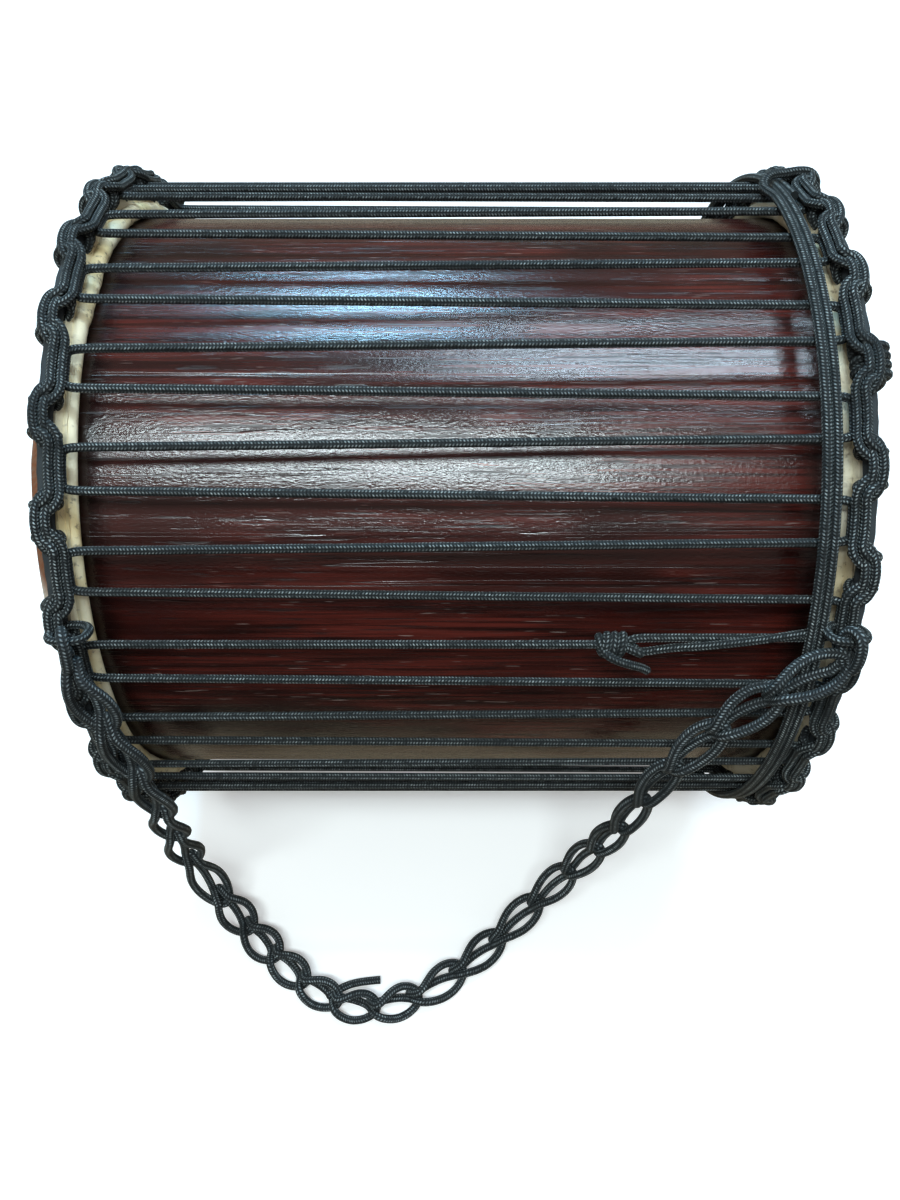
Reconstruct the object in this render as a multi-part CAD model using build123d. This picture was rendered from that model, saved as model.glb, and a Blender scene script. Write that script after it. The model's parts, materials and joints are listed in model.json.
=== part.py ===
from build123d import *
from math import asin, atan, cos, degrees, pi, radians, sin, tan
import os

import numpy as np

# A double-headed rope-tuned drum lying on its side along X, with its carrying strap in front (-Y).
# The origin is on the floor under the middle of the drum. Lengths are in millimetres, angles in degrees.
# Angles round the drum are measured up from the front horizontal, so -90 is where it stands.

# Wooden shell
SHELL_LENGTH = 390.0
SHELL_RADIUS = 167.5
SHELL_WALL = 15.0
EDGE_CHAMFER = 5.0

# Rawhide heads, each rolled round an iron flesh hoop
HIDE = 1.1
COLLAR_DEPTH = 17.2
COLLAR_GAP = 0.3
ROLL_GAP = 0.25

# Iron hoops, and the cloth wound round the crown hoops
HOOP_BAR = 5.0
WRAP = 0.9
WRAP_GAP = 0.05
HOOP_LEAN = 62.0

# Rope: its diameter over the corners, the room between strands and the room over what it lies on
ROPE = 4.2
ROPE_SIDES = 5
STRAND_GAP = 0.45
SEAT = 0.35

# Rim loops: a doubled rope that turns round the crown hoop between one loop and the next
LOOPS = 25
LOOP_LENGTH = 35.0
LOOP_TOP = -14.0
TURN_STEPS = 5
FLOOR_FLAT = ROPE / 4

# Lengthwise lacing: two runs to a loop
RUN_PAIR = 19.6
BIGHT_CORNER = 4.5

# The run that ends in the tie knot, and the knot's place along the drum
TIE_LOOP = 8
KNOT_PLACE = 68.0
KNOT_TURNS = 3
KNOT_TAIL = 22.0

# Spare rope wound over the right end of the lacing
WINDING_TURNS = 2
WINDING_INSET = 5.3
WINDING_ANGLE = 104.0

# Carrying strap, a chain of rope links drawn as one tube, hung on a rope hitch at each rim
STRAP = 16.0
STRAP_SIDES = 6
HITCH_ANGLE = 31.5
HITCH_REACH = 8.3
HITCH_FOOT = 10.0
EYE_INSET = 7.5
EYE_GAP = 0.3
EYE_FACETS = 8
STRAP_ROUTE = [
    (-177, -176.1, 291.7),
    (-171.5, -185.3, 274.8),
    (-165, -195.8, 245.6),
    (-161, -202.2, 207.3),
    (-162, -202.6, 168.8),
    (-167, -199.4, 127.1),
    (-170, -197.5, 85.5),
    (-168, -199.4, 52.5),
    (-159.5, -208.0, 29.0),
    (-144, -223.0, 13.5),
    (-121, -244.0, 8.8),
    (-93, -266.0, 8.3),
    (-64, -277.5, 8.2),
    (-32, -273.0, 8.2),
    (0, -256.0, 8.5),
    (30, -232.0, 9.5),
    (51, -214.0, 18.0),
    (70, -201.3, 38.2),
    (82, -197.0, 68.9),
    (91, -197.5, 104.9),
    (97, -199.0, 142.5),
    (102, -197.5, 179.3),
    (110, -195.5, 212.8),
    (124, -190.8, 241.9),
    (142, -185.2, 264.5),
    (160, -181.0, 279.2),
    (176.6, -176.7, 291.0),
]
STRAP_TAIL_ROUTE = [(-84, -269, 9), (-75, -263, 5), (-64, -259, 2.4), (-50, -258, 2.3)]

# Places worked out from the sizes above
HALF_SHELL = SHELL_LENGTH / 2
HEAD_FACE = HALF_SHELL + HIDE
ROPE_RADIUS = ROPE / 2
STRAND_STEP = ROPE + STRAND_GAP
ROLL_STEP = 60.0
ROLL_INSIDE = (HOOP_BAR / 2 + ROLL_GAP) / cos(radians(ROLL_STEP / 2))
ROLL_OUTSIDE = ROLL_INSIDE + HIDE
COLLAR_RADIUS = SHELL_RADIUS + COLLAR_GAP
FLESH_PLACE = HALF_SHELL - COLLAR_DEPTH
FLESH_RADIUS = COLLAR_RADIUS + ROLL_OUTSIDE
WRAP_INSIDE = HOOP_BAR + 2 * WRAP_GAP
WRAP_OUTSIDE = WRAP_INSIDE + 2 * WRAP
TURN_RADIUS = (WRAP_OUTSIDE / 2 + ROPE_RADIUS + SEAT) / cos(pi / TURN_STEPS)
HOOP_STEP = ROLL_OUTSIDE + SEAT + ROPE_RADIUS * cos(pi / ROPE_SIDES) + TURN_RADIUS
CROWN_PLACE = FLESH_PLACE + HOOP_STEP * cos(radians(HOOP_LEAN))
CROWN_RADIUS = FLESH_RADIUS + HOOP_STEP * sin(radians(HOOP_LEAN))
RIM_RADIUS = CROWN_RADIUS + TURN_RADIUS + ROPE_RADIUS
AXIS_HEIGHT = RIM_RADIUS - FLOOR_FLAT

# Each rope strand beside the next one round the crown hoop, as an angle about the bar
STRAND_TURN = degrees(2 * asin(STRAND_STEP / (2 * TURN_RADIUS)))
BIGHT_TURN = radians(LOOP_TOP - 2 * STRAND_TURN)
BIGHT_PLACE = CROWN_PLACE + TURN_RADIUS * sin(BIGHT_TURN)
RUN_RADIUS = CROWN_RADIUS + TURN_RADIUS * cos(BIGHT_TURN)

LOOP_PITCH = 360 / LOOPS
HOOP_FLATS = 2 * LOOPS
LEFT_START = -90.0
RIGHT_START = LEFT_START + LOOP_PITCH / 2
RUN_ANGLE = degrees(RUN_PAIR / 2 / RUN_RADIUS)
WINDING_RADIUS = RUN_RADIUS + ROPE + SEAT
WINDING_PLACE = BIGHT_PLACE - WINDING_INSET
HITCH_RADIUS = RIM_RADIUS + HITCH_REACH
EYE_PLACE = CROWN_PLACE - EYE_INSET
HITCH_TIP = EYE_PLACE - ROPE


def place(along, radius, angle):
    """A point at a distance along the drum, a radius from its axis and an angle round it."""
    turn = radians(angle)
    return Vector(along, -radius * cos(turn), AXIS_HEIGHT + radius * sin(turn))


def sleeve(rings, closed):
    """Flat faces between matching rings of corners, with an end cap at each end of an open run."""
    faces = []
    following = rings[1:] + (rings[:1] if closed else [])
    for ring, other in zip(rings, following):
        for i, corner in enumerate(ring):
            j = (i + 1) % len(ring)
            faces.append(Face(Wire.make_polygon([corner, ring[j], other[j], other[i]], close=True)))
    if not closed:
        faces.append(Face(Wire.make_polygon(rings[0][::-1], close=True)))
        faces.append(Face(Wire.make_polygon(rings[-1], close=True)))
    return Solid(Shell(faces))


def faceted_rope(points, diameter, sides=ROPE_SIDES, closed=False):
    """A many-sided tube along straight runs, mitred where they meet."""
    ends = points[1:] + (points[:1] if closed else [])
    runs = [(b - a).normalized() for a, b in zip(points, ends)]
    start = Plane(origin=points[0], z_dir=runs[0])
    corners = [
        start.from_local_coords((diameter / 2 * cos(2 * pi * i / sides), diameter / 2 * sin(2 * pi * i / sides), 0))
        for i in range(sides)
    ]
    rings = []
    for i, point in enumerate(points):
        before = runs[i - 1] if i or closed else runs[0]
        after = runs[i] if i < len(runs) else runs[-1]
        mitre = (before + after).normalized()
        along = after if i == 0 else before
        corners = [q + along * ((point - q).dot(mitre) / along.dot(mitre)) for q in corners]
        rings.append(corners)
    return sleeve(rings, closed)


def least_gap(points, diameter):
    """The least room between stretches of one rope that don't follow each other."""
    spots = []
    for a, b in zip(points, points[1:]):
        steps = max(1, round((b - a).length / ROPE))
        spots += [a + (b - a) * (i / steps) for i in range(steps)]
    spots = np.array([tuple(p) for p in spots])
    travel = np.concatenate([[0.0], np.cumsum(np.linalg.norm(np.diff(spots, axis=0), axis=1))])
    least = float("inf")
    for i, spot in enumerate(spots):
        apart = np.linalg.norm(spots - spot, axis=1)[travel > travel[i] + 4 * diameter]
        least = min(least, apart.min(initial=float("inf")))
    return least - diameter


def hoop_ring(along, radius, start, way=1):
    """Corners of a hoop, two to a rim loop, set so that its flats lie evenly about the true circle."""
    outer = radius * (1 + 1 / cos(pi / HOOP_FLATS)) / 2
    return [place(along, outer, start + way * 360 * i / HOOP_FLATS) for i in range(HOOP_FLATS)]


def shell():
    """A hollowed cylinder with chamfered bearing edges."""
    edge = [
        (HALF_SHELL, SHELL_RADIUS - SHELL_WALL),
        (HALF_SHELL, SHELL_RADIUS - EDGE_CHAMFER),
        (HALF_SHELL - EDGE_CHAMFER, SHELL_RADIUS),
    ]
    outline = make_face(Polyline(*edge, *[(-t, r) for t, r in edge[::-1]], close=True))
    return Pos(0, 0, AXIS_HEIGHT) * revolve(outline, Axis.X, 360)


def head(side, start):
    """A flat skin whose collar goes down the shell, under the flesh hoop and back over it."""
    mitre = HIDE * tan(radians(45 / 2))
    roll = [radians(-90 - ROLL_STEP * i) for i in range(5)]
    inner = [(FLESH_PLACE + ROLL_INSIDE * cos(a), FLESH_RADIUS + ROLL_INSIDE * sin(a)) for a in roll]
    outer = [(FLESH_PLACE + ROLL_OUTSIDE * cos(a), FLESH_RADIUS + ROLL_OUTSIDE * sin(a)) for a in roll]
    outline = [
        (HEAD_FACE, COLLAR_RADIUS - EDGE_CHAMFER + mitre),
        (HALF_SHELL - EDGE_CHAMFER + mitre, COLLAR_RADIUS + HIDE),
        *inner,
        *outer[::-1],
        (HALF_SHELL - EDGE_CHAMFER, COLLAR_RADIUS),
        (HALF_SHELL, COLLAR_RADIUS - EDGE_CHAMFER),
    ]
    return sleeve([hoop_ring(side * t, r, start, way=side) for t, r in outline], closed=False)


def loop_rope_line(side, start):
    """Points of the rope that goes twice round the crown hoop: a float over each loop, then a turn round the bar."""
    pitch = radians(LOOP_PITCH) * CROWN_RADIUS
    gap = pitch - LOOP_LENGTH
    slope = atan(gap / (2 * pi * TURN_RADIUS))
    shift = STRAND_STEP * tan((pi / 2 - slope) / 2)
    points = []
    for number in range(2 * LOOPS):
        lap = number // LOOPS
        change = number == LOOPS - 1
        offset = shift * (lap - 0.5)
        top = LOOP_TOP - STRAND_TURN * lap
        turn = 360 - (STRAND_TURN if change else 0)
        travel = gap + (shift if change else 0)
        steps = [(-LOOP_LENGTH / 2, 0), (0, 0), (LOOP_LENGTH / 2, 0)]
        if number < 2 * LOOPS - 1:
            steps += [
                (LOOP_LENGTH / 2 + travel * i / TURN_STEPS, turn * i / TURN_STEPS) for i in range(1, TURN_STEPS)
            ]
        for along_rim, round_bar in steps:
            angle = start + LOOP_PITCH * number + degrees((along_rim + offset) / CROWN_RADIUS)
            bar = radians(top + round_bar)
            along = CROWN_PLACE + TURN_RADIUS * sin(bar)
            points.append(place(side * along, CROWN_RADIUS + TURN_RADIUS * cos(bar), angle))
    return points


def loop_rope(side, start):
    """The rim's rope, cut flat where the drum stands on it."""
    line = loop_rope_line(side, start)
    print("loop rope least gap to itself", round(least_gap(line, ROPE), 2))
    floor = Pos(side * CROWN_PLACE, 0, -ROPE) * Box(12 * ROPE, RIM_RADIUS, 2 * ROPE)
    return faceted_rope(line, ROPE) - floor


def bight(side, middle):
    """The turn of the lacing under one rim loop, with cut corners."""
    step = degrees(BIGHT_CORNER / RUN_RADIUS)
    spots = [(BIGHT_CORNER, -RUN_ANGLE), (0, -RUN_ANGLE + step)]
    spots += [(t, -a) for t, a in spots[::-1]]
    return [place(side * (BIGHT_PLACE - t), RUN_RADIUS, middle + a) for t, a in spots]


def tie_angles():
    """Where the tied run and its two-stranded eye lie round the drum."""
    run = LEFT_START + LOOP_PITCH * TIE_LOOP + RUN_ANGLE
    eye = RIGHT_START + LOOP_PITCH * TIE_LOOP - RUN_ANGLE
    return run, eye, eye - degrees(STRAND_STEP / RUN_RADIUS)


def lacing_line():
    """The lacing from its eye at the knot, through every rim loop, back to the knot."""
    run, eye, tail = tie_angles()
    fold = KNOT_PLACE - ROPE
    points = [
        place(BIGHT_PLACE - 2 * ROPE, RUN_RADIUS, tail),
        place(fold + ROPE_RADIUS, RUN_RADIUS, tail),
        place(fold, RUN_RADIUS, tail + (eye - tail) / 4),
        place(fold, RUN_RADIUS, eye - (eye - tail) / 4),
        place(fold + ROPE_RADIUS, RUN_RADIUS, eye),
    ]
    for i in range(TIE_LOOP, TIE_LOOP + LOOPS):
        points += bight(1, RIGHT_START + LOOP_PITCH * i)
        points += bight(-1, LEFT_START + LOOP_PITCH * (i + 1))
    points.append(place(fold - 3 * ROPE, RUN_RADIUS, run))
    return points


def knot_line():
    """The lacing's end: over the eye's fold, round both its strands, and out as a short tail."""
    run, eye, tail = tie_angles()
    middle = (eye + tail) / 2
    fold = KNOT_PLACE - ROPE
    wide = degrees((STRAND_STEP + ROPE + STRAND_STEP + STRAND_GAP) / 2 / RUN_RADIUS)
    high = STRAND_STEP + STRAND_GAP / 2
    pitch = STRAND_STEP + STRAND_GAP
    begin = fold + ROPE
    points = [
        place(fold - 3 * ROPE + STRAND_GAP, RUN_RADIUS, run),
        place(fold - 2.6 * ROPE + STRAND_GAP, RUN_RADIUS, run),
        place(fold - 1.6 * ROPE, RUN_RADIUS + 0.6 * high, run),
        place(fold - ROPE_RADIUS, RUN_RADIUS + high, middle - wide / 3),
    ]
    corners = [(-1, 1), (1, 1), (1, -1), (-1, -1)]
    for i in range(1, 4 * KNOT_TURNS + 2):
        across, up = corners[i % 4]
        points.append(place(begin + pitch * (i - 1) / 4, RUN_RADIUS + high * up, middle + wide * across))
    finish = begin + pitch * KNOT_TURNS
    points.append(place(finish + KNOT_TAIL / 2, RUN_RADIUS + high, middle - 0.4 * wide))
    points.append(place(finish + KNOT_TAIL, RUN_RADIUS + high, middle - 2.2 * wide))
    return points


def winding_line():
    """The spare end, wound over the runs at the right and hitched across its own turns to the rim."""
    angles = []
    for i in range(WINDING_TURNS + 1):
        for loop in range(LOOPS):
            for side in (-1, 1):
                angles.append(RIGHT_START + LOOP_PITCH * loop + side * RUN_ANGLE + 360 * i)
    finish = WINDING_ANGLE + 360 * WINDING_TURNS
    angles = [a for a in angles if WINDING_ANGLE <= a <= finish]
    points = [
        place(WINDING_PLACE - STRAND_STEP * (a - angles[0]) / 360, WINDING_RADIUS, a) for a in angles
    ]
    inner = WINDING_PLACE - STRAND_STEP * WINDING_TURNS
    over = WINDING_RADIUS + STRAND_STEP
    last = angles[-1]
    step = LOOP_PITCH / 4
    points.append(place(inner - STRAND_STEP, WINDING_RADIUS + STRAND_GAP, last + step))
    points.append(place(inner, over + STRAND_GAP, last + 1.6 * step))
    points.append(place(WINDING_PLACE, over + STRAND_GAP, last + 1.8 * step))
    points.append(place(CROWN_PLACE, max(over, RIM_RADIUS + ROPE_RADIUS) + SEAT, last + 1.8 * step))
    return points


def hitch(side):
    """A rope becket that stands on the rim and carries the strap's eye on its bar."""
    foot = degrees(HITCH_FOOT / RIM_RADIUS)
    rest = RIM_RADIUS + ROPE_RADIUS * cos(pi / ROPE_SIDES)
    line = [
        place(side * CROWN_PLACE, rest, HITCH_ANGLE + foot),
        place(side * CROWN_PLACE, rest, HITCH_ANGLE + foot / 2),
        place(side * CROWN_PLACE, HITCH_RADIUS, HITCH_ANGLE),
        place(side * HITCH_TIP, HITCH_RADIUS, HITCH_ANGLE),
    ]
    return faceted_rope(line, ROPE)


def eye(side):
    """The strap's end link, a ring round the becket's bar."""
    centre = place(side * EYE_PLACE, HITCH_RADIUS, HITCH_ANGLE)
    outer = (ROPE + EYE_GAP) / cos(pi / EYE_FACETS)
    turns = [2 * pi * i / EYE_FACETS for i in range(EYE_FACETS)]
    return faceted_rope([centre + Vector(0, outer * cos(a), outer * sin(a)) for a in turns], ROPE, closed=True)


def bent_cord(route, diameter, sides, name):
    """A cord along straight runs joined by arcs as large as the runs allow, each arc drawn with two flats."""
    corners = [Vector(*p) for p in route]
    points = [corners[0]]
    radii = []
    for a, b, c in zip(corners, corners[1:], corners[2:]):
        before = (b - a).normalized()
        after = (c - b).normalized()
        turn = radians(before.get_angle(after))
        reach = 0.45 * min((b - a).length, (c - b).length)
        radius = reach / tan(turn / 2)
        inward = (after - before).normalized()
        points += [b - before * reach, b + inward * (radius / cos(turn / 2) - radius), b + after * reach]
        radii.append(radius)
    points.append(corners[-1])
    length = sum((b - a).length for a, b in zip(points, points[1:]))
    cord = faceted_rope(points, diameter, sides)
    section = sides / 2 * sin(2 * pi / sides) * (diameter / 2) ** 2
    print(name, "length", round(length, 1), "radii", [round(r) for r in radii])
    print(name, "volume over section times length", round(cord.volume / (section * length), 4))
    return cord


def wrap(side, start):
    """Cloth wound round the crown hoop, a closed sleeve over the bar."""
    ring = hoop_ring(side * CROWN_PLACE, CROWN_RADIUS, start)
    return faceted_rope(ring, WRAP_OUTSIDE, closed=True) - faceted_rope(ring, WRAP_INSIDE, closed=True)


def measured_rope(name, line):
    """A rope whose least gap to itself is printed."""
    print(name, "least gap to itself", round(least_gap(line, ROPE), 2))
    return faceted_rope(line, ROPE)


parts = {"shell": shell()}
for name, side, start in (("left", -1, LEFT_START), ("right", 1, RIGHT_START)):
    parts[f"head_{name}"] = head(side, start)
    parts[f"flesh_hoop_{name}"] = faceted_rope(
        hoop_ring(side * FLESH_PLACE, FLESH_RADIUS, start), HOOP_BAR, closed=True
    )
    parts[f"crown_hoop_{name}"] = faceted_rope(
        hoop_ring(side * CROWN_PLACE, CROWN_RADIUS, start), HOOP_BAR, closed=True
    )
    parts[f"hoop_wrap_{name}"] = wrap(side, start)
    parts[f"loop_rope_{name}"] = loop_rope(side, start)
    parts[f"strap_hitch_{name}"] = hitch(side)
    parts[f"strap_eye_{name}"] = eye(side)
parts["tension_rope"] = measured_rope("tension rope", lacing_line())
parts["tie_knot"] = measured_rope("tie knot", knot_line())
parts["reserve_winding"] = measured_rope("reserve winding", winding_line())
parts["strap"] = bent_cord(STRAP_ROUTE, STRAP, STRAP_SIDES, "strap")
parts["strap_tail"] = bent_cord(STRAP_TAIL_ROUTE, ROPE, ROPE_SIDES, "strap tail")

os.makedirs("parts", exist_ok=True)
for name, solid in parts.items():
    export_step(solid, f"parts/{name}.step")
print("rim radius", round(RIM_RADIUS, 2), "run radius", round(RUN_RADIUS, 2), "axis height", round(AXIS_HEIGHT, 2))
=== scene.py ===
import json
import random
from math import cos, degrees, pi, radians, sin

import bpy
from mathutils import Matrix, Vector, noise


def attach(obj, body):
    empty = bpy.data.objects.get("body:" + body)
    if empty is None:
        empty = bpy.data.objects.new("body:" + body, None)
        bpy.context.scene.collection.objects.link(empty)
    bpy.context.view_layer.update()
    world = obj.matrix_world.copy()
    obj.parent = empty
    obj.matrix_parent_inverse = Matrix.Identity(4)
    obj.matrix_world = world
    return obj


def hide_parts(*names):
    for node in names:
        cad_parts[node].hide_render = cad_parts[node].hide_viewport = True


# A double-headed rope-tuned drum lying on its side along X, with its carrying strap in front.
# Lengths are in metres. Angles round the drum are in degrees, up from the front horizontal.
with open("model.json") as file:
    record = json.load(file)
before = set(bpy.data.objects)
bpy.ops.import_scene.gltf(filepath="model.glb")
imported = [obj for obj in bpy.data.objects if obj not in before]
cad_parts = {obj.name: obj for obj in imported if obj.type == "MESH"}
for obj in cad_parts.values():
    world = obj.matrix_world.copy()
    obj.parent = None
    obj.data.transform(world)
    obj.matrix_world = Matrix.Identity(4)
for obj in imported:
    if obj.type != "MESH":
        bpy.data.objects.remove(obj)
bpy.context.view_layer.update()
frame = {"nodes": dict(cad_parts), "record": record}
bpy.ops.object.select_all(action="DESELECT")
scene = bpy.context.scene

# Shell
AXIS = frame["record"]["mounts"][0]["pos_m"][2]
HALF_SHELL = 0.195
SHELL_RADIUS = 0.1675
SHELL_WALL = 0.015
BEARING_EDGE = 0.005

# Skins, rolled round their flesh hoops
HEAD_FACE = 0.1961
HIDE = 0.0011
FLESH_PLACE = 0.1778
FLESH_RADIUS = 0.17208
ROLL = 0.0042

# Crown hoops in their cloth
CROWN_PLACE = 0.1842
CROWN_RADIUS = 0.1841
WRAP = 0.0036

# Rope, its loops on the two rims, and the lacing through them
ROPE = 0.0042
ROPE_RADIUS = ROPE / 2
STITCH = 0.0016
LOOPS = 25
LOOP_PITCH = 360 / LOOPS
LEFT_START = -90.0
RIGHT_START = LEFT_START + LOOP_PITCH / 2
RUN_RADIUS = 0.18431
RUN_ANGLE = 3.05
BIGHT_PLACE = 0.1769

# The loop at which the lacing is tied, its tied run, and the eye that it starts from
TIE_LOOP = 8
TIE_RUN = LEFT_START + LOOP_PITCH * TIE_LOOP + RUN_ANGLE
TIE_EYE = RIGHT_START + LOOP_PITCH * TIE_LOOP - RUN_ANGLE

# Strap hitches
HITCH_ANGLE = 31.5
HITCH_RADIUS = 0.20179
HITCH_PLACE = 0.1767


# Helpers

def only(piece):
    """Make a piece the only one selected."""
    bpy.ops.object.select_all(action="DESELECT")
    piece.select_set(True)
    bpy.context.view_layer.objects.active = piece


def around(along, radius, angle):
    """A point at a distance along the drum, a radius from its axis and an angle round it."""
    turn = radians(angle)
    return Vector((along, -radius * cos(turn), AXIS + radius * sin(turn)))


def from_axis(spot):
    """The way from the drum's axis straight out to a spot."""
    return Vector((0, spot.y, spot.z - AXIS))


def turn_round(across):
    """The angle round the drum, in radians, of a way out from its axis."""
    return Vector((0, -1, 0)).angle(across) * (1 if across.z > 0 else -1)


def finish_piece(piece, body, finish, slot, *nodes):
    """Give a piece its finish, its body and the nodes that it stands for; its slot is not used."""
    piece.data.materials.clear()
    piece.data.materials.append(finish)
    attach(piece, body)
    if nodes:
        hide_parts(*nodes)
    return piece


def smooth_route(name, points, closed=False, steps=4):
    """A smooth line that the given points pull into shape."""
    line = bpy.data.curves.new(name, "CURVE")
    line.dimensions = "3D"
    line.resolution_u = steps
    strand = line.splines.new("NURBS")
    strand.points.add(len(points) - 1)
    for knot, spot in zip(strand.points, points):
        knot.co = (*spot, 1)
    strand.use_cyclic_u = closed
    strand.order_u = 3
    strand.use_endpoint_u = not closed
    piece = bpy.data.objects.new(name, line)
    scene.collection.objects.link(piece)
    return piece


def spots_along(piece):
    """Points along a line that has no thickness yet."""
    mesh = bpy.data.meshes.new_from_object(piece)
    spots = [vertex.co.copy() for vertex in mesh.vertices]
    bpy.data.meshes.remove(mesh)
    return spots


def rope(name, points, diameter, closed=False, steps=4):
    """A round braided rope along a smooth line, with a UV map that counts its stitches."""
    piece = smooth_route(name, points, closed, steps)
    spots = spots_along(piece)
    if closed:
        spots.append(spots[0])
    travel = [0.0]
    for a, b in zip(spots, spots[1:]):
        travel.append(travel[-1] + (b - a).length)
    piece.data.bevel_depth = diameter / 2
    piece.data.bevel_resolution = 3
    piece.data.use_fill_caps = not closed
    only(piece)
    bpy.ops.object.convert(target="MESH")
    piece = bpy.context.active_object
    last = len(travel) - 1
    for corner in piece.data.uv_layers[0].data:
        corner.uv.x = travel[min(last, round(corner.uv.x * last))] / STITCH
    bpy.ops.object.shade_smooth()
    return piece


# Shader steps

def new_group(name, inputs):
    """An empty shader group with named inputs, which puts out a colour, a roughness and a height."""
    group = bpy.data.node_groups.new(name, "ShaderNodeTree")
    for label, kind in inputs:
        group.interface.new_socket(label, in_out="INPUT", socket_type="NodeSocket" + kind)
    for label, kind in (("Color", "Color"), ("Roughness", "Float"), ("Height", "Float")):
        group.interface.new_socket(label, in_out="OUTPUT", socket_type="NodeSocket" + kind)
    return group, group.nodes.new("NodeGroupInput"), group.nodes.new("NodeGroupOutput")


def feed(tree, socket, value):
    """Link a socket to another one, or set its value."""
    if isinstance(value, bpy.types.NodeSocket):
        tree.links.new(value, socket)
    elif isinstance(value, tuple) and len(value) == 3 and len(socket.default_value) == 4:
        socket.default_value = (*value, 1)
    else:
        socket.default_value = value


def maths(tree, operation, first, second=0.0):
    """One step of arithmetic."""
    step = tree.nodes.new("ShaderNodeMath")
    step.operation = operation
    feed(tree, step.inputs[0], first)
    feed(tree, step.inputs[1], second)
    return step.outputs[0]


def times(tree, first, second):
    """The product of two values."""
    return maths(tree, "MULTIPLY", first, second)


def plus(tree, first, second):
    """The sum of two values."""
    return maths(tree, "ADD", first, second)


def minus(tree, first, second):
    """One value less another."""
    return maths(tree, "SUBTRACT", first, second)


def between(tree, value, low, high):
    """0 at low, 1 at high, and smooth between them."""
    step = tree.nodes.new("ShaderNodeMapRange")
    step.interpolation_type = "SMOOTHSTEP"
    feed(tree, step.inputs["Value"], value)
    step.inputs["From Min"].default_value = low
    step.inputs["From Max"].default_value = high
    return step.outputs["Result"]


def blended(tree, share, first, second):
    """One colour going over to another."""
    step = tree.nodes.new("ShaderNodeMix")
    step.data_type = "RGBA"
    feed(tree, step.inputs[0], share)
    feed(tree, step.inputs[6], first)
    feed(tree, step.inputs[7], second)
    return step.outputs[2]


def parts_of(tree, place):
    """The X, Y and Z of a place."""
    step = tree.nodes.new("ShaderNodeSeparateXYZ")
    feed(tree, step.inputs[0], place)
    return step.outputs


def grain(tree, place, scale, detail=3.0, roughness=0.55, distortion=0.0):
    """Cloudy noise at a scale along each axis."""
    stretch = tree.nodes.new("ShaderNodeMapping")
    feed(tree, stretch.inputs["Vector"], place)
    stretch.inputs["Scale"].default_value = scale
    step = tree.nodes.new("ShaderNodeTexNoise")
    feed(tree, step.inputs["Vector"], stretch.outputs["Vector"])
    step.inputs["Scale"].default_value = 1.0
    step.inputs["Detail"].default_value = detail
    step.inputs["Roughness"].default_value = roughness
    step.inputs["Distortion"].default_value = distortion
    return step.outputs["Fac"]


def bumped(tree, shader, height, strength, distance):
    """Let a height stand out of a surface."""
    bump = tree.nodes.new("ShaderNodeBump")
    bump.inputs["Strength"].default_value = strength
    bump.inputs["Distance"].default_value = distance
    tree.links.new(height, bump.inputs["Height"])
    tree.links.new(bump.outputs["Normal"], shader.inputs["Normal"])


# Surfaces that the finishes share

# Columns of stitches round a rope, and how far each column slants in stitches
BRAID_COLUMNS = 6.0
BRAID_SLANT = 0.7


def braid_group():
    """Plaited yarns: columns of slanted stitches, paler at the middle of each stitch."""
    group, start, end = new_group(
        "plaited_yarn",
        [("Place", "Vector"), ("Cloud", "Vector"), ("Dark", "Color"), ("Pale", "Color")],
    )
    parts = parts_of(group, start.outputs["Place"])
    columns = times(group, parts["Y"], BRAID_COLUMNS)
    across = maths(group, "SINE", times(group, maths(group, "FRACT", columns), pi))
    slant = times(group, maths(group, "PINGPONG", columns, 1.0), BRAID_SLANT)
    phase = maths(group, "FRACT", plus(group, parts["X"], slant))
    along = maths(group, "SINE", times(group, phase, pi))
    stitch = times(group, across, along)
    wear = grain(group, start.outputs["Cloud"], (420, 420, 420), 2.0)
    broad = grain(group, start.outputs["Cloud"], (35, 35, 35), 2.0)
    shine = times(group, between(group, stitch, 0.45, 1.0), between(group, wear, 0.25, 0.7))
    shine = times(group, shine, between(group, broad, 0.1, 0.75))
    feed(group, end.inputs["Color"], blended(group, shine, start.outputs["Dark"], start.outputs["Pale"]))
    feed(group, end.inputs["Roughness"], minus(group, 0.75, times(group, stitch, 0.25)))
    feed(group, end.inputs["Height"], stitch)
    return group


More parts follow.
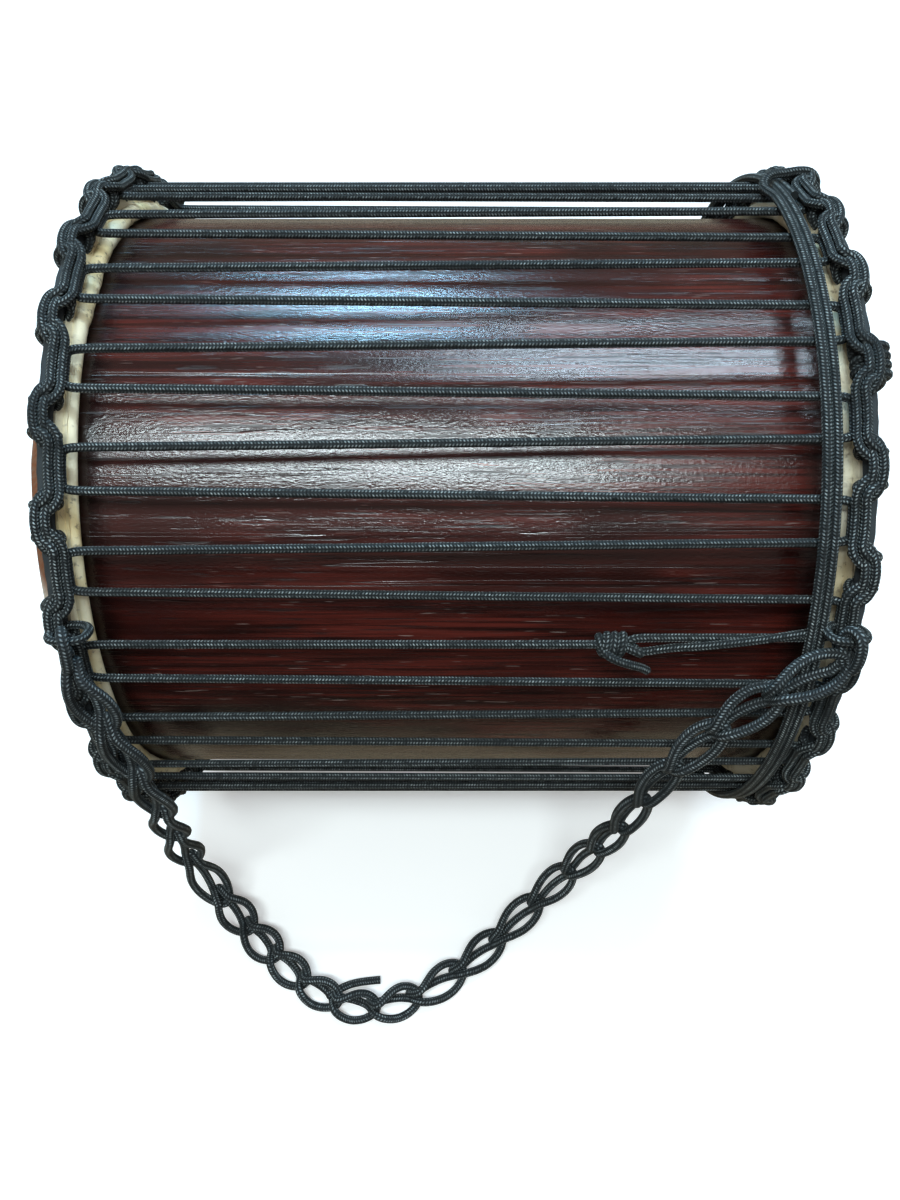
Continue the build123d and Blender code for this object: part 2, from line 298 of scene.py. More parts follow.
def wood_group():
    """Dark red hardwood with long pores, streaks, cracks and pale scratches, all along X."""
    group, start, end = new_group(
        "red_hardwood",
        [
            ("Place", "Vector"), ("Deep", "Color"), ("Middle", "Color"), ("Warm", "Color"),
            ("Scratch", "Color"),
        ],
    )
    place = start.outputs["Place"]
    deep = start.outputs["Deep"]
    bands = grain(group, place, (3, 55, 55), 4.0, 0.6, 0.4)
    fibre = grain(group, place, (14, 520, 520), 3.0)
    pores = grain(group, place, (28, 900, 900), 2.0)
    patches = grain(group, place, (7, 16, 16), 3.0)
    marks = grain(group, place, (55, 1100, 1100), 1.0)
    stipple = grain(group, place, (480, 1000, 1000), 2.0, 0.6)
    cracks = grain(group, place, (1.2, 110, 110), 2.0, 0.5, 0.15)
    warmth = times(group, between(group, patches, 0.38, 0.66), between(group, fibre, 0.32, 0.68))
    pore = between(group, pores, 0.6, 0.68)
    crack = times(group, between(group, cracks, 0.495, 0.5), between(group, cracks, 0.505, 0.5))
    scuffs = times(group, between(group, marks, 0.7, 0.75), between(group, patches, 0.44, 0.58))
    tone = blended(group, between(group, bands, 0.3, 0.62), deep, start.outputs["Middle"])
    tone = blended(group, warmth, tone, start.outputs["Warm"])
    tone = blended(group, times(group, pore, 0.8), tone, deep)
    tone = blended(group, times(group, crack, 0.8), tone, deep)
    tone = blended(group, times(group, scuffs, 0.5), tone, start.outputs["Scratch"])
    feed(group, end.inputs["Color"], tone)
    rough = plus(group, 0.13, times(group, patches, 0.14))
    feed(group, end.inputs["Roughness"], plus(group, rough, times(group, pore, 0.2)))
    lift = minus(group, times(group, fibre, 0.05), times(group, pore, 0.25))
    lift = plus(group, lift, times(group, stipple, 1.2))
    feed(group, end.inputs["Height"], minus(group, lift, times(group, crack, 0.8)))
    return group


def hide_group():
    """Dried skin: cloudy cream with stains, specks and fine creases, and painted shade along the creases."""
    group, start, end = new_group(
        "dried_skin",
        [("Place", "Vector"), ("Pale", "Color"), ("Cloud", "Color"), ("Stain", "Color")],
    )
    place = start.outputs["Place"]
    clouds = grain(group, place, (38, 38, 38), 4.0, 0.6)
    specks = grain(group, place, (330, 330, 330), 2.0)
    creases = grain(group, place, (60, 240, 240), 4.0, 0.65, 1.2)
    dirt = times(group, between(group, specks, 0.56, 0.7), between(group, clouds, 0.4, 0.56))
    crease_shade = between(group, creases, 0.58, 0.7)
    tone = blended(group, between(group, clouds, 0.38, 0.68), start.outputs["Pale"], start.outputs["Cloud"])
    tone = blended(group, times(group, dirt, 0.75), tone, start.outputs["Stain"])
    # Painted shade: the creases are darkened towards the stain colour
    tone = blended(group, times(group, crease_shade, 0.3), tone, start.outputs["Stain"])
    feed(group, end.inputs["Color"], tone)
    feed(group, end.inputs["Roughness"], plus(group, 0.48, times(group, clouds, 0.25)))
    feed(group, end.inputs["Height"], plus(group, creases, times(group, specks, 0.4)))
    return group


braid = braid_group()
hardwood = wood_group()
skin = hide_group()


# Finishes

# How far from the middle of the drum the painted shade on the shell beside the rolled skins and the hair on
# the skins begin and are full
ROLL_SHADE_START, ROLL_SHADE_FULL = 0.164, 0.18
HAIR_START, HAIR_FULL = 0.1868, 0.1884
# Threads of the cloth strip round the hoop and round its bar
WARP_THREADS = 1500
WEFT_THREADS = 30


def new_finish(name):
    """A material with one principled shader, ready for its colours."""
    finish = bpy.data.materials.new(name)
    finish.use_nodes = True
    tree = finish.node_tree
    shader = tree.nodes["Principled BSDF"]
    places = tree.nodes.new("ShaderNodeTexCoord")
    return finish, tree, shader, places


def dress(tree, shader, group, strength, distance, **values):
    """Place a group in a material, link its roughness and height to the shader, and hand on its colour."""
    step = tree.nodes.new("ShaderNodeGroup")
    step.node_tree = group
    for label, value in values.items():
        feed(tree, step.inputs[label], value)
    tree.links.new(step.outputs["Roughness"], shader.inputs["Roughness"])
    bumped(tree, shader, step.outputs["Height"], strength, distance)
    return step.outputs["Color"]


def rope_finish(name, dark, pale):
    """Braided rope, with its stitches laid out on the UV map."""
    finish, tree, shader, places = new_finish(name)
    tone = dress(
        tree, shader, braid, 0.9, 0.0006,
        Place=places.outputs["UV"], Cloud=places.outputs["Object"], Dark=dark, Pale=pale,
    )
    feed(tree, shader.inputs["Base Color"], tone)
    shader.inputs["Specular IOR Level"].default_value = 0.3
    shader.inputs["Sheen Weight"].default_value = 0.06
    shader.inputs["Sheen Roughness"].default_value = 0.4
    shader.inputs["Sheen Tint"].default_value = (0.6, 0.75, 0.78, 1)
    return finish


def wood_finish():
    """Varnished red hardwood, with painted shade beside the rolled skins."""
    finish, tree, shader, places = new_finish("varnished_hardwood")
    place = places.outputs["Object"]
    tone = dress(
        tree, shader, hardwood, 0.32, 0.0005,
        Place=place, Deep=(0.006, 0.0016, 0.0013), Middle=(0.03, 0.005, 0.0036),
        Warm=(0.1, 0.0148, 0.01), Scratch=(0.34, 0.28, 0.25),
    )
    # Painted shade: the wood darkens towards its ends, beside the rolled skins, with a cloudy edge
    cloud = times(tree, grain(tree, place, (40, 60, 60), 3.0), 0.012)
    reach = plus(tree, maths(tree, "ABSOLUTE", parts_of(tree, place)["X"]), cloud)
    roll_shade = times(tree, between(tree, reach, ROLL_SHADE_START, ROLL_SHADE_FULL), 0.85)
    feed(tree, shader.inputs["Base Color"], blended(tree, roll_shade, tone, (0.004, 0.0014, 0.0012)))
    shader.inputs["Specular IOR Level"].default_value = 0.8
    return finish


def hide_finish(name, pale, cloud, stain_and_shade, fur, patch):
    """Dried skin at the roll, with the grain side and its short hair outside the crown hoop."""
    finish, tree, shader, places = new_finish(name)
    place = places.outputs["Object"]
    tone = dress(tree, shader, skin, 0.5, 0.0007, Place=place, Pale=pale, Cloud=cloud, Stain=stain_and_shade)
    from_middle = maths(tree, "ABSOLUTE", parts_of(tree, place)["X"])
    outside = between(tree, from_middle, HAIR_START, HAIR_FULL)
    patches = grain(tree, place, (9, 9, 9), 2.0, 0.5, 0.6)
    hairs = grain(tree, place, (300, 900, 120), 2.0)
    coat = blended(tree, between(tree, patches, 0.58, 0.63), fur, patch)
    coat = blended(tree, times(tree, between(tree, hairs, 0.4, 0.65), 0.35), coat, stain_and_shade)
    feed(tree, shader.inputs["Base Color"], blended(tree, outside, tone, coat))
    return finish


def iron_finish():
    """Dull iron with rust."""
    finish, tree, shader, places = new_finish("dull_iron")
    rust = between(tree, grain(tree, places.outputs["Object"], (90, 90, 90), 4.0), 0.45, 0.65)
    feed(tree, shader.inputs["Base Color"], blended(tree, rust, (0.09, 0.085, 0.08), (0.13, 0.05, 0.025)))
    feed(tree, shader.inputs["Roughness"], plus(tree, 0.5, times(tree, rust, 0.3)))
    feed(tree, shader.inputs["Metallic"], minus(tree, 0.9, times(tree, rust, 0.7)))
    return finish


def cloth_finish():
    """Dark woven cloth strip, faded in places."""
    finish, tree, shader, places = new_finish("dark_cloth")
    parts = parts_of(tree, places.outputs["UV"])
    warp = maths(tree, "SINE", times(tree, parts["X"], 2 * pi * WARP_THREADS))
    weft = maths(tree, "SINE", times(tree, parts["Y"], 2 * pi * WEFT_THREADS))
    weave = between(tree, times(tree, warp, weft), -0.6, 0.8)
    fade = grain(tree, places.outputs["Object"], (60, 60, 60), 3.0)
    tone = blended(tree, weave, (0.018, 0.023, 0.026), (0.045, 0.055, 0.06))
    tone = blended(tree, times(tree, between(tree, fade, 0.5, 0.8), 0.5), tone, (0.09, 0.1, 0.1))
    feed(tree, shader.inputs["Base Color"], tone)
    feed(tree, shader.inputs["Roughness"], plus(tree, 0.75, times(tree, fade, 0.2)))
    bumped(tree, shader, weave, 0.5, 0.0003)
    return finish


lacing_rope = rope_finish("black_braid", dark=(0.0105, 0.013, 0.0138), pale=(0.37, 0.42, 0.42))
strap_rope = rope_finish("blue_black_braid", dark=(0.013, 0.016, 0.0175), pale=(0.4, 0.46, 0.475))
varnished = wood_finish()
left_hide = hide_finish(
    "left_skin", pale=(0.95, 0.86, 0.62), cloud=(0.76, 0.6, 0.31), stain_and_shade=(0.2, 0.15, 0.1),
    fur=(0.2, 0.065, 0.025), patch=(0.72, 0.65, 0.55),
)
right_hide = hide_finish(
    "right_skin", pale=(0.76, 0.69, 0.52), cloud=(0.56, 0.45, 0.27), stain_and_shade=(0.17, 0.13, 0.09),
    fur=(0.42, 0.37, 0.3), patch=(0.7, 0.65, 0.55),
)
iron = iron_finish()
cloth = cloth_finish()


# Shell

# Sides of the cylinder, and the spacing and number each way of the cuts across it
SHELL_SIDES = 288
SHELL_CUT = 0.033
SHELL_CUTS = 5
# Planed strips: their width in degrees, how much they are cut, their sway in degrees, and the tool's marks
STRIP_LEAST, STRIP_MOST = 6, 13
PLANED = 0.6
STRIP_SWAY = 2.0
TOOL_MARK = 0.0002


def planed_depth(angle, edges):
    """How far the wood lies below the round: least at the middle of a planed strip, most at its edges."""
    for a, b in zip(edges, edges[1:]):
        if a <= angle < b:
            off = radians(abs(angle - (a + b) / 2))
            return PLANED * SHELL_RADIUS * (1 - cos(off))
    return 0.0


def shell():
    """A hollowed cylinder with sloped bearing edges and long planed strips."""
    bpy.ops.mesh.primitive_cylinder_add(
        vertices=SHELL_SIDES,
        radius=SHELL_RADIUS,
        depth=2 * HALF_SHELL,
        location=(0, 0, AXIS),
        rotation=(0, pi / 2, 0),
    )
    piece = bpy.context.active_object
    piece.name = "drum_shell"
    bpy.ops.object.transform_apply(location=True, rotation=True, scale=True)
    bpy.ops.object.mode_set(mode="EDIT")
    bpy.ops.mesh.select_mode(type="FACE")
    bpy.ops.mesh.select_all(action="DESELECT")
    bpy.ops.object.mode_set(mode="OBJECT")
    for face in piece.data.polygons:
        face.select = abs(face.normal.x) > 0.9
    bpy.ops.object.mode_set(mode="EDIT")
    bpy.ops.mesh.inset(thickness=BEARING_EDGE, depth=0)
    bpy.ops.mesh.inset(thickness=SHELL_WALL - BEARING_EDGE, depth=0)
    bpy.ops.mesh.bridge_edge_loops()
    bpy.ops.object.mode_set(mode="OBJECT")
    # The outer corner drops to the bearing edge, and the outside is cut into short lengths
    for vertex in piece.data.vertices:
        if from_axis(vertex.co).length > SHELL_RADIUS - 0.001:
            vertex.co.x *= (HALF_SHELL - BEARING_EDGE) / HALF_SHELL
    bpy.ops.object.mode_set(mode="EDIT")
    for i in range(-SHELL_CUTS, SHELL_CUTS + 1):
        bpy.ops.mesh.select_all(action="SELECT")
        bpy.ops.mesh.bisect(plane_co=(i * SHELL_CUT, 0, AXIS), plane_no=(1, 0, 0))
    bpy.ops.object.mode_set(mode="OBJECT")
    rng = random.Random(5)
    edges = [-180.0]
    while edges[-1] < 180:
        edges.append(edges[-1] + rng.uniform(STRIP_LEAST, STRIP_MOST))
    for vertex in piece.data.vertices:
        across = from_axis(vertex.co)
        if across.length > SHELL_RADIUS - 0.002:
            sway = STRIP_SWAY * noise.noise(Vector((vertex.co.x * 9, 0, 3)))
            depth = planed_depth(max(-180, min(179.9, degrees(turn_round(across)) + sway)), edges)
            mark = noise.noise(Vector((vertex.co.x * 25, across.y * 40, across.z * 40)))
            depth += TOOL_MARK * (1 + mark)
            vertex.co -= across.normalized() * depth
    only(piece)
    bpy.ops.object.shade_smooth_by_angle(angle=radians(20))
    finish_piece(piece, "drum", varnished, "shell_wood", "shell")


# Heads

# The gap between skin and shell, and the height of the skin's wrinkles
COLLAR_GAP = 0.0003
WRINKLE = 0.0007
# The rim of the left head stands proud at its front, where its hair is left on
PROUD_RIM = 0.0055
PROUD_ANGLE = 32
PROUD_REACH = 48
PROUD_INNER = 0.135
PROUD_FADE = 0.025


def head_profile():
    """The skin's section: from its middle to the rim, down the shell, under the flesh hoop and back."""
    collar = SHELL_RADIUS + COLLAR_GAP
    outer = [
        (HEAD_FACE, 0.004),
        (HEAD_FACE, 0.06),
        (HEAD_FACE, 0.11),
        (HEAD_FACE, 0.15),
        (HEAD_FACE - 0.0004, collar - BEARING_EDGE),
        (HEAD_FACE - 0.0016, collar - 0.0022),
        (HEAD_FACE - 0.0035, collar - 0.0001),
        (HEAD_FACE - 0.006, collar + HIDE),
        (HEAD_FACE - 0.012, collar + HIDE),
        (FLESH_PLACE + 0.0035, collar + HIDE),
    ]
    inner_turn = [radians(-60 - 30 * i) for i in range(9)]
    outer_turn = [radians(-90 - 20 * i) for i in range(13)]
    inside = ROLL - HIDE
    under = [(FLESH_PLACE + inside * cos(a), FLESH_RADIUS + inside * sin(a)) for a in inner_turn]
    over = [(FLESH_PLACE + ROLL * cos(a), FLESH_RADIUS + ROLL * sin(a)) for a in outer_turn]
    trimmed = [(FLESH_PLACE + 0.0034, FLESH_RADIUS + 0.0078), (FLESH_PLACE + 0.0045, FLESH_RADIUS + 0.0075)]
    back = [
        (HALF_SHELL - 0.006, collar),
        (HALF_SHELL - 0.002, collar - 0.002),
        (HALF_SHELL, collar - BEARING_EDGE),
        (HALF_SHELL, 0.11),
        (HALF_SHELL, 0.004),
    ]
    return outer + under + trimmed + over[::-1] + back


def raise_rim(piece, side):
    """Push the front of a head's rim outwards, less towards its ends and the middle of the head."""
    outwards = [max(0, vertex.normal.x * side) for vertex in piece.data.vertices]
    for vertex, out in zip(piece.data.vertices, outwards):
        across = from_axis(vertex.co)
        rise = max(0, 1 - abs(degrees(turn_round(across)) - PROUD_ANGLE) / PROUD_REACH)
        near = max(0, min(1, (across.length - PROUD_INNER) / PROUD_FADE))
        vertex.co.x += side * PROUD_RIM * min(1, 2 * rise) * near * out


def wrinkle_roll(piece, side):
    """Wrinkle the outside of the rolled skin, as the pull of the loops does."""
    for vertex in piece.data.vertices:
        across = from_axis(vertex.co)
        if abs(vertex.co.x) > FLESH_PLACE + 0.006 or across.length < 0.16:
            continue
        centre = Vector((side * FLESH_PLACE, 0, AXIS)) + across.normalized() * FLESH_RADIUS
        away = vertex.co - centre
        if away.length < ROLL - 0.0006:
            continue
        fine = Vector((vertex.co.x * 60, vertex.co.y * 260, vertex.co.z * 260))
        ripple = noise.noise(vertex.co * 70) + 0.6 * noise.noise(fine)
        vertex.co += away.normalized() * WRINKLE * ripple


def head(name, side, finish):
    """The skin's section spun round the drum, with its wrinkles, and the left one with its proud rim."""
    profile = head_profile()
    section = bpy.data.meshes.new(name)
    edges = [(i, i + 1) for i in range(len(profile) - 1)]
    section.from_pydata([(side * along, 0, AXIS + radius) for along, radius in profile], edges, [])
    piece = bpy.data.objects.new(name, section)
    scene.collection.objects.link(piece)
    only(piece)
    bpy.ops.object.mode_set(mode="EDIT")
    bpy.ops.mesh.select_all(action="SELECT")
    bpy.ops.mesh.spin(steps=300, angle=2 * pi, center=(0, 0, AXIS), axis=(1, 0, 0))
    bpy.ops.mesh.select_all(action="SELECT")
    bpy.ops.mesh.remove_doubles(threshold=0.00002)
    bpy.ops.mesh.fill_holes(sides=0)
    bpy.ops.mesh.normals_make_consistent(inside=False)
    bpy.ops.object.mode_set(mode="OBJECT")
    if side < 0:
        raise_rim(piece, side)
    wrinkle_roll(piece, side)
    bpy.ops.object.shade_smooth_by_angle(angle=radians(45))
    finish_piece(piece, "drum", finish, "rawhide", name)


# Crown hoops

# Turns of the cloth strip round the hoop's bar, and the step where one laps over the last
WRAP_TURNS = 96
WRAP_LAP = 0.0005


def hoop_wrap(name, side):
    """A cloth strip wound along the hoop, each turn lapping over the last."""
    bpy.ops.mesh.primitive_torus_add(
        major_segments=900, minor_segments=16, major_radius=CROWN_RADIUS, minor_radius=WRAP,
        location=(side * CROWN_PLACE, 0, AXIS), rotation=(0, pi / 2, 0), generate_uvs=True,
    )
    piece = bpy.context.active_object
    piece.name = name + "_strip"
    bpy.ops.object.transform_apply(location=True, rotation=True, scale=True)
    for vertex in piece.data.vertices:
        across = from_axis(vertex.co)
        centre = Vector((side * CROWN_PLACE, 0, AXIS)) + across.normalized() * CROWN_RADIUS
        away = vertex.co - centre
        out = away.dot(across.normalized())
        round_bar = Vector((0, 1, 0)).angle(Vector((0, out, away.x))) * (1 if away.x > 0 else -1)
        lap = ((turn_round(across) * WRAP_TURNS + round_bar) / (2 * pi)) % 1
        vertex.co -= away.normalized() * WRAP_LAP * lap
    bpy.ops.object.shade_smooth_by_angle(angle=radians(50))
    finish_piece(piece, "drum", cloth, "cloth", name)


# Rim loops

# One half of a hitch, in millimetres and degrees: how far along the hoop from the hitch's middle, the turn
# round the hoop's bar from the outside of the drum towards its end, and the reach from the middle of the bar
HITCH_LEG = [
    (-17, -46, 8.6), (-13, -46, 9.8), (-9, -38, 10.0), (-6, -18, 8.4), (-4.8, 15, 6.4), (-4.8, 60, 5.9),
    (-5.5, 110, 5.9), (-7, 160, 5.9), (-9, 210, 5.9), (-11, 260, 5.9), (-12, 305, 6.0), (-10.5, 340, 6.6),
    (-6.5, 354, 8.4), (-2, 357, 9.2),
]
# Half the distance between the two strands of the doubled rope, in millimetres
STRAND_HALF = 2.3


def rim_line(side, start):
    """The doubled rope's line: an inner link at each loop, and between the loops a hitch round the hoop."""
    pitch = radians(LOOP_PITCH) * CROWN_RADIUS * 1000
    hitch = HITCH_LEG + [(-ahead, turn, reach) for ahead, turn, reach in HITCH_LEG[::-1]]
    points = []
    for lap in (-1, 1):
        shift = lap * STRAND_HALF
        for number in range(LOOPS):
            middle = start + LOOP_PITCH * (number + 0.5)
            for i, (ahead, turn, reach) in enumerate(hitch):
                before = hitch[i - 1] if i else (hitch[-1][0] - pitch, turn, reach)
                after = hitch[i + 1] if i + 1 < len(hitch) else (hitch[0][0] + pitch, turn, reach)
                run = Vector((after[0] - before[0], reach * radians(after[1] - before[1]))).normalized()
                bar = radians(turn) + shift * run.x / reach
                along = CROWN_PLACE + reach / 1000 * sin(bar)
                radius = CROWN_RADIUS + reach / 1000 * cos(bar)
                off = degrees((ahead - shift * run.y) / 1000 / CROWN_RADIUS)
                spot = around(side * along, radius, middle + off)
                spot.z = max(spot.z, ROPE_RADIUS)
                points.append(spot)
    return points


def loop_rope(name, side, start):
    """The rope of one rim."""
    piece = rope(name + "_chain", rim_line(side, start), ROPE, closed=True, steps=3)
    finish_piece(piece, "drum", lacing_rope, "rope", name)


# Lengthwise lacing

# Routes beside a run: the place along the drum, the height over the runs, and the angle from the run.
# The eye, from its tuck at the right rim to the first run
EYE_ROUTE = [
    (0.1685, 0.0005, 1.2),
    (0.15, 0.0035, 0.7),
    (0.132, 0.0044, 0),
    (0.115, 0.003, -0.9),
    (0.1, 0, -1.7),
    (0.087, 0, -2.5),
    (0.0815, 0, -2.2),
    (0.0795, 0, -1.2),
    (0.0815, 0, -0.2),
    (0.087, 0, 0),
    (0.12, 0, 0),
]
# The tied end, up to the eye and through it
KNOT_ROUTE = [
    (0.061, 0, 0),
    (0.066, 0, 0),
    (0.073, 0, 0),
    (0.079, 0.001, -0.3),
    (0.084, 0.004, -0.6),
    (0.0865, 0.003, -1.2),
    (0.0835, -0.003, -1.0),
    (0.079, -0.004, -0.2),
]
# The knot's short tail
KNOT_TAIL = [
    (0.068, 0.0062, -0.5),
    (0.075, 0.0075, -1.5),
    (0.082, 0.005, -2.6),
    (0.088, 0.001, -3.9),
    (0.091, 0.0002, -4.7),
]
# The knot's turns: their first place, pitch, height and width, and their points in all, at eight a turn
KNOT_PLACE = 0.0785
KNOT_PITCH = 0.0038
KNOT_HEIGHT = 0.0046
KNOT_SIDE = 0.00462
KNOT_POINTS = 26


def beside_run(route, angle):
    """The points of a route beside the run at an angle."""
    return [around(along, RUN_RADIUS + height, angle + off) for along, height, off in route]


def bight(side, middle):
    """The turn of the lacing under one rim loop."""
    half = [(0.03, -RUN_ANGLE), (0.008, -RUN_ANGLE), (0.0005, -RUN_ANGLE + 0.3), (0, -RUN_ANGLE / 2)]
    turn = half + [(back, -off) for back, off in half[::-1]]
    return [around(side * (BIGHT_PLACE - back), RUN_RADIUS, middle + off) for back, off in turn]


def lacing():
    """The lacing from its eye at the knot, through every rim loop, back to the knot."""
    points = beside_run(EYE_ROUTE, TIE_EYE)
    for i in range(TIE_LOOP, TIE_LOOP + LOOPS):
        points += bight(1, RIGHT_START + LOOP_PITCH * i)
        points += bight(-1, LEFT_START + LOOP_PITCH * (i + 1))
    points += beside_run([(0, 0, 0), (0.062, 0, 0)], TIE_RUN)
    piece = rope("tension_lacing", points, ROPE, steps=5)
    finish_piece(piece, "drum", lacing_rope, "rope", "tension_rope")


def tie_knot():
    """The lacing's end: a loop through the eye, three turns round itself, and a short tail."""
    turns = []
    for i in range(KNOT_POINTS):
        turn = radians(-90 + 45 * i)
        off = degrees(KNOT_SIDE / RUN_RADIUS) * cos(turn)
        turns.append((KNOT_PLACE - KNOT_PITCH * i / 8, KNOT_HEIGHT * sin(turn), off))
    points = beside_run(KNOT_ROUTE + turns + KNOT_TAIL, TIE_RUN)
    piece = rope("lacing_knot", points, ROPE, steps=4)
    finish_piece(piece, "drum", lacing_rope, "rope", "tie_knot")


# Reserve winding

# Its rope, the angle where it starts, its turns and points a turn, the place of its first turn, the pitch,
# and the radius of its middle
WINDING_ROPE = 0.0046
WINDING_START = 104.0
WINDING_TURNS = 2
WINDING_POINTS = 75
WINDING_PLACE = BIGHT_PLACE - 0.0053
WINDING_PITCH = 0.0047
WINDING_RADIUS = RUN_RADIUS + ROPE + 0.0004


def winding():
    """The spare end, wound twice over the runs at the right and hitched across its own turns to the rim."""
    points = []
    for i in range(WINDING_TURNS * WINDING_POINTS + 1):
        turned = 360 / WINDING_POINTS * i
        place = WINDING_PLACE - WINDING_PITCH * turned / 360
        points.append(around(place, WINDING_RADIUS, WINDING_START + turned))
    inner = WINDING_PLACE - WINDING_PITCH * WINDING_TURNS
    over = WINDING_RADIUS + WINDING_PITCH + 0.0005
    tuck = [
        (inner - WINDING_PITCH, WINDING_RADIUS + 0.0005, 3.6),
        (inner, over, 5.8),
        (WINDING_PLACE, over, 6.5),
        (CROWN_PLACE - 0.004, RUN_RADIUS + 0.0112, 6.9),
        (CROWN_PLACE + 0.003, RUN_RADIUS + 0.0098, 7.3),
        (CROWN_PLACE + 0.0075, RUN_RADIUS + 0.0045, 7.8),
        (CROWN_PLACE + 0.0072, RUN_RADIUS - 0.0015, 8.2),
    ]
    last = WINDING_START + 360 * WINDING_TURNS
    points += [around(along, radius, last + off) for along, radius, off in tuck]
    piece = rope("spare_winding", points, WINDING_ROPE, steps=3)
    finish_piece(piece, "drum", lacing_rope, "rope", "reserve_winding")


# Lashing on the right crown hoop

# Its angle round the drum, its turns, their pitch, and how far they swell over the hitch at the drum's end
LASHING_ANGLE = 69.5
LASHING_TURNS = 4
LASHING_PITCH = 0.0043
LASHING_SWELL = 0.0039


def hoop_lashing(name, side, angle):
    """Four turns of rope round the wrapped hoop and the legs of one hitch, where the cloth strip ends."""
    points = []
    for i in range(8 * LASHING_TURNS + 1):
        turn = radians(45 * i)
        reach = WRAP + ROPE_RADIUS + LASHING_SWELL * max(0, sin(turn))
        place = side * (CROWN_PLACE + reach * sin(turn))
        off = degrees(LASHING_PITCH * (i / 8 - LASHING_TURNS / 2) / CROWN_RADIUS)
        points.append(around(place, CROWN_RADIUS + reach * cos(turn), angle + off))
    piece = rope(name, points, ROPE, steps=3)
    finish_piece(piece, "drum", lacing_rope, "rope")


# Strap hitches

# The ring of a hitch: the place along the drum and the radius from its axis
HITCH_RING = [
    (0.1712, 0.2012),
    (HITCH_PLACE, HITCH_RADIUS),
    (0.1822, 0.2012),
    (0.1854, 0.1975),
    (0.1862, 0.192),
    (0.1842, 0.1865),
    (0.1785, 0.1842),
    (0.1728, 0.1848),
    (0.1692, 0.1885),
    (0.1686, 0.1945),
    (0.1692, 0.1988),
]


def strap_hitch(name, side):
    """A ring of rope round the inner link of the rim, with a bar outside for the strap."""
    points = [around(side * along, radius, HITCH_ANGLE) for along, radius in HITCH_RING]
    piece = rope("strap_hitch_ring_" + name, points, ROPE, closed=True, steps=6)
    finish_piece(piece, "drum", lacing_rope, "rope", "strap_hitch_" + name)


# Carrying strap

STRAP_ROPE = 0.0052
# The strap's route along its middle, and its loose end
STRAP_ROUTE = [
    (-0.177, -0.1761, 0.2917),
    (-0.1715, -0.1853, 0.2748),
    (-0.165, -0.1958, 0.2456),
    (-0.161, -0.2022, 0.2073),
    (-0.162, -0.2026, 0.1688),
    (-0.167, -0.1994, 0.1271),
    (-0.17, -0.1975, 0.0855),
    (-0.168, -0.1994, 0.0525),
    (-0.1595, -0.208, 0.029),
    (-0.144, -0.223, 0.0135),
    (-0.121, -0.244, 0.0088),
    (-0.093, -0.266, 0.0083),
    (-0.064, -0.2775, 0.0082),
    (-0.032, -0.273, 0.0082),
    (0, -0.256, 0.0085),
    (0.03, -0.232, 0.0095),
    (0.051, -0.214, 0.018),
    (0.07, -0.2013, 0.0382),
    (0.082, -0.197, 0.0689),
    (0.091, -0.1975, 0.1049),
    (0.097, -0.199, 0.1425),
    (0.102, -0.1975, 0.1793),
    (0.11, -0.1955, 0.2128),
    (0.124, -0.1908, 0.2419),
    (0.142, -0.1852, 0.2645),
    (0.16, -0.181, 0.2792),
    (0.1766, -0.1767, 0.291),
]
STRAP_TAIL_ROUTE = [
    (-0.084, -0.269, 0.009),
    (-0.075, -0.263, 0.005),
    (-0.064, -0.259, 0.0026),
    (-0.05, -0.258, 0.0025),
]
# The strap's front at rest, and the roll of the chain to and fro about its line: its reach, rate and start
STRAP_FRONT = (0, -0.5, 0.87)
STRAP_ROLL = 0.3
STRAP_ROLL_RATE = 19
STRAP_ROLL_START = 0.6
# Where the first stitch starts, and how far the last one reaches past its pitch, in pitches
STITCH_START = 0.003
STITCH_PAST = 0.28
# One stitch: how far ahead in pitches, how far aside in half widths, and how high in rope thicknesses
CHAIN_STITCH = [
    (0.06, 0.24, -0.75), (0.16, 0.34, 0.2), (0.28, 0.42, 0.95), (0.45, 0.72, 0.75), (0.66, 1.0, 0.3),
    (0.9, 1.02, -0.1), (1.1, 0.78, -0.3), (1.24, 0.4, -0.3), (1.28, 0, -0.3), (1.24, -0.4, -0.3),
    (1.1, -0.78, -0.3), (0.9, -1.02, -0.1), (0.66, -1.0, 0.3), (0.45, -0.72, 0.75), (0.28, -0.42, 0.95),
    (0.16, -0.34, 0.2), (0.06, -0.24, -0.75), (0.06, -0.05, -1.1), (0.25, 0.06, -1.05), (0.55, -0.12, -0.95),
    (0.85, 0.02, -1.0), (0.98, 0.18, -1.0),
]
# Along the strap from its left end: where it changes, its stitches' pitch, half width and share of the height
STRAP_STITCHES = [
    (0.0, 0.034, 0.009, 0.8), (0.06, 0.05, 0.009, 0.5), (0.24, 0.05, 0.009, 0.5), (0.29, 0.0275, 0.0102, 1.0),
    (0.41, 0.027, 0.01, 1.0), (0.45, 0.034, 0.0084, 1.0), (0.55, 0.037, 0.008, 0.9), (0.6, 0.044, 0.008, 0.7),
    (0.74, 0.044, 0.008, 0.7), (0.8, 0.036, 0.008, 0.9), (0.9, 0.034, 0.008, 0.9),
]
# An end link, in millimetres from the hitch's bar: aside, towards the chain, and in towards the drum
END_LINK = [
    (-2.4, 6, 4.9), (-2.4, 0.5, 4.9), (-1.6, -3.6, 3.8), (0, -5.2, 0), (1.6, -3.6, -3.8), (2.4, 0.5, -4.9),
    (2.4, 6, -4.7), (1.8, 12, -3.2), (0, 14.5, 0), (-1.8, 12, 3.2),
]


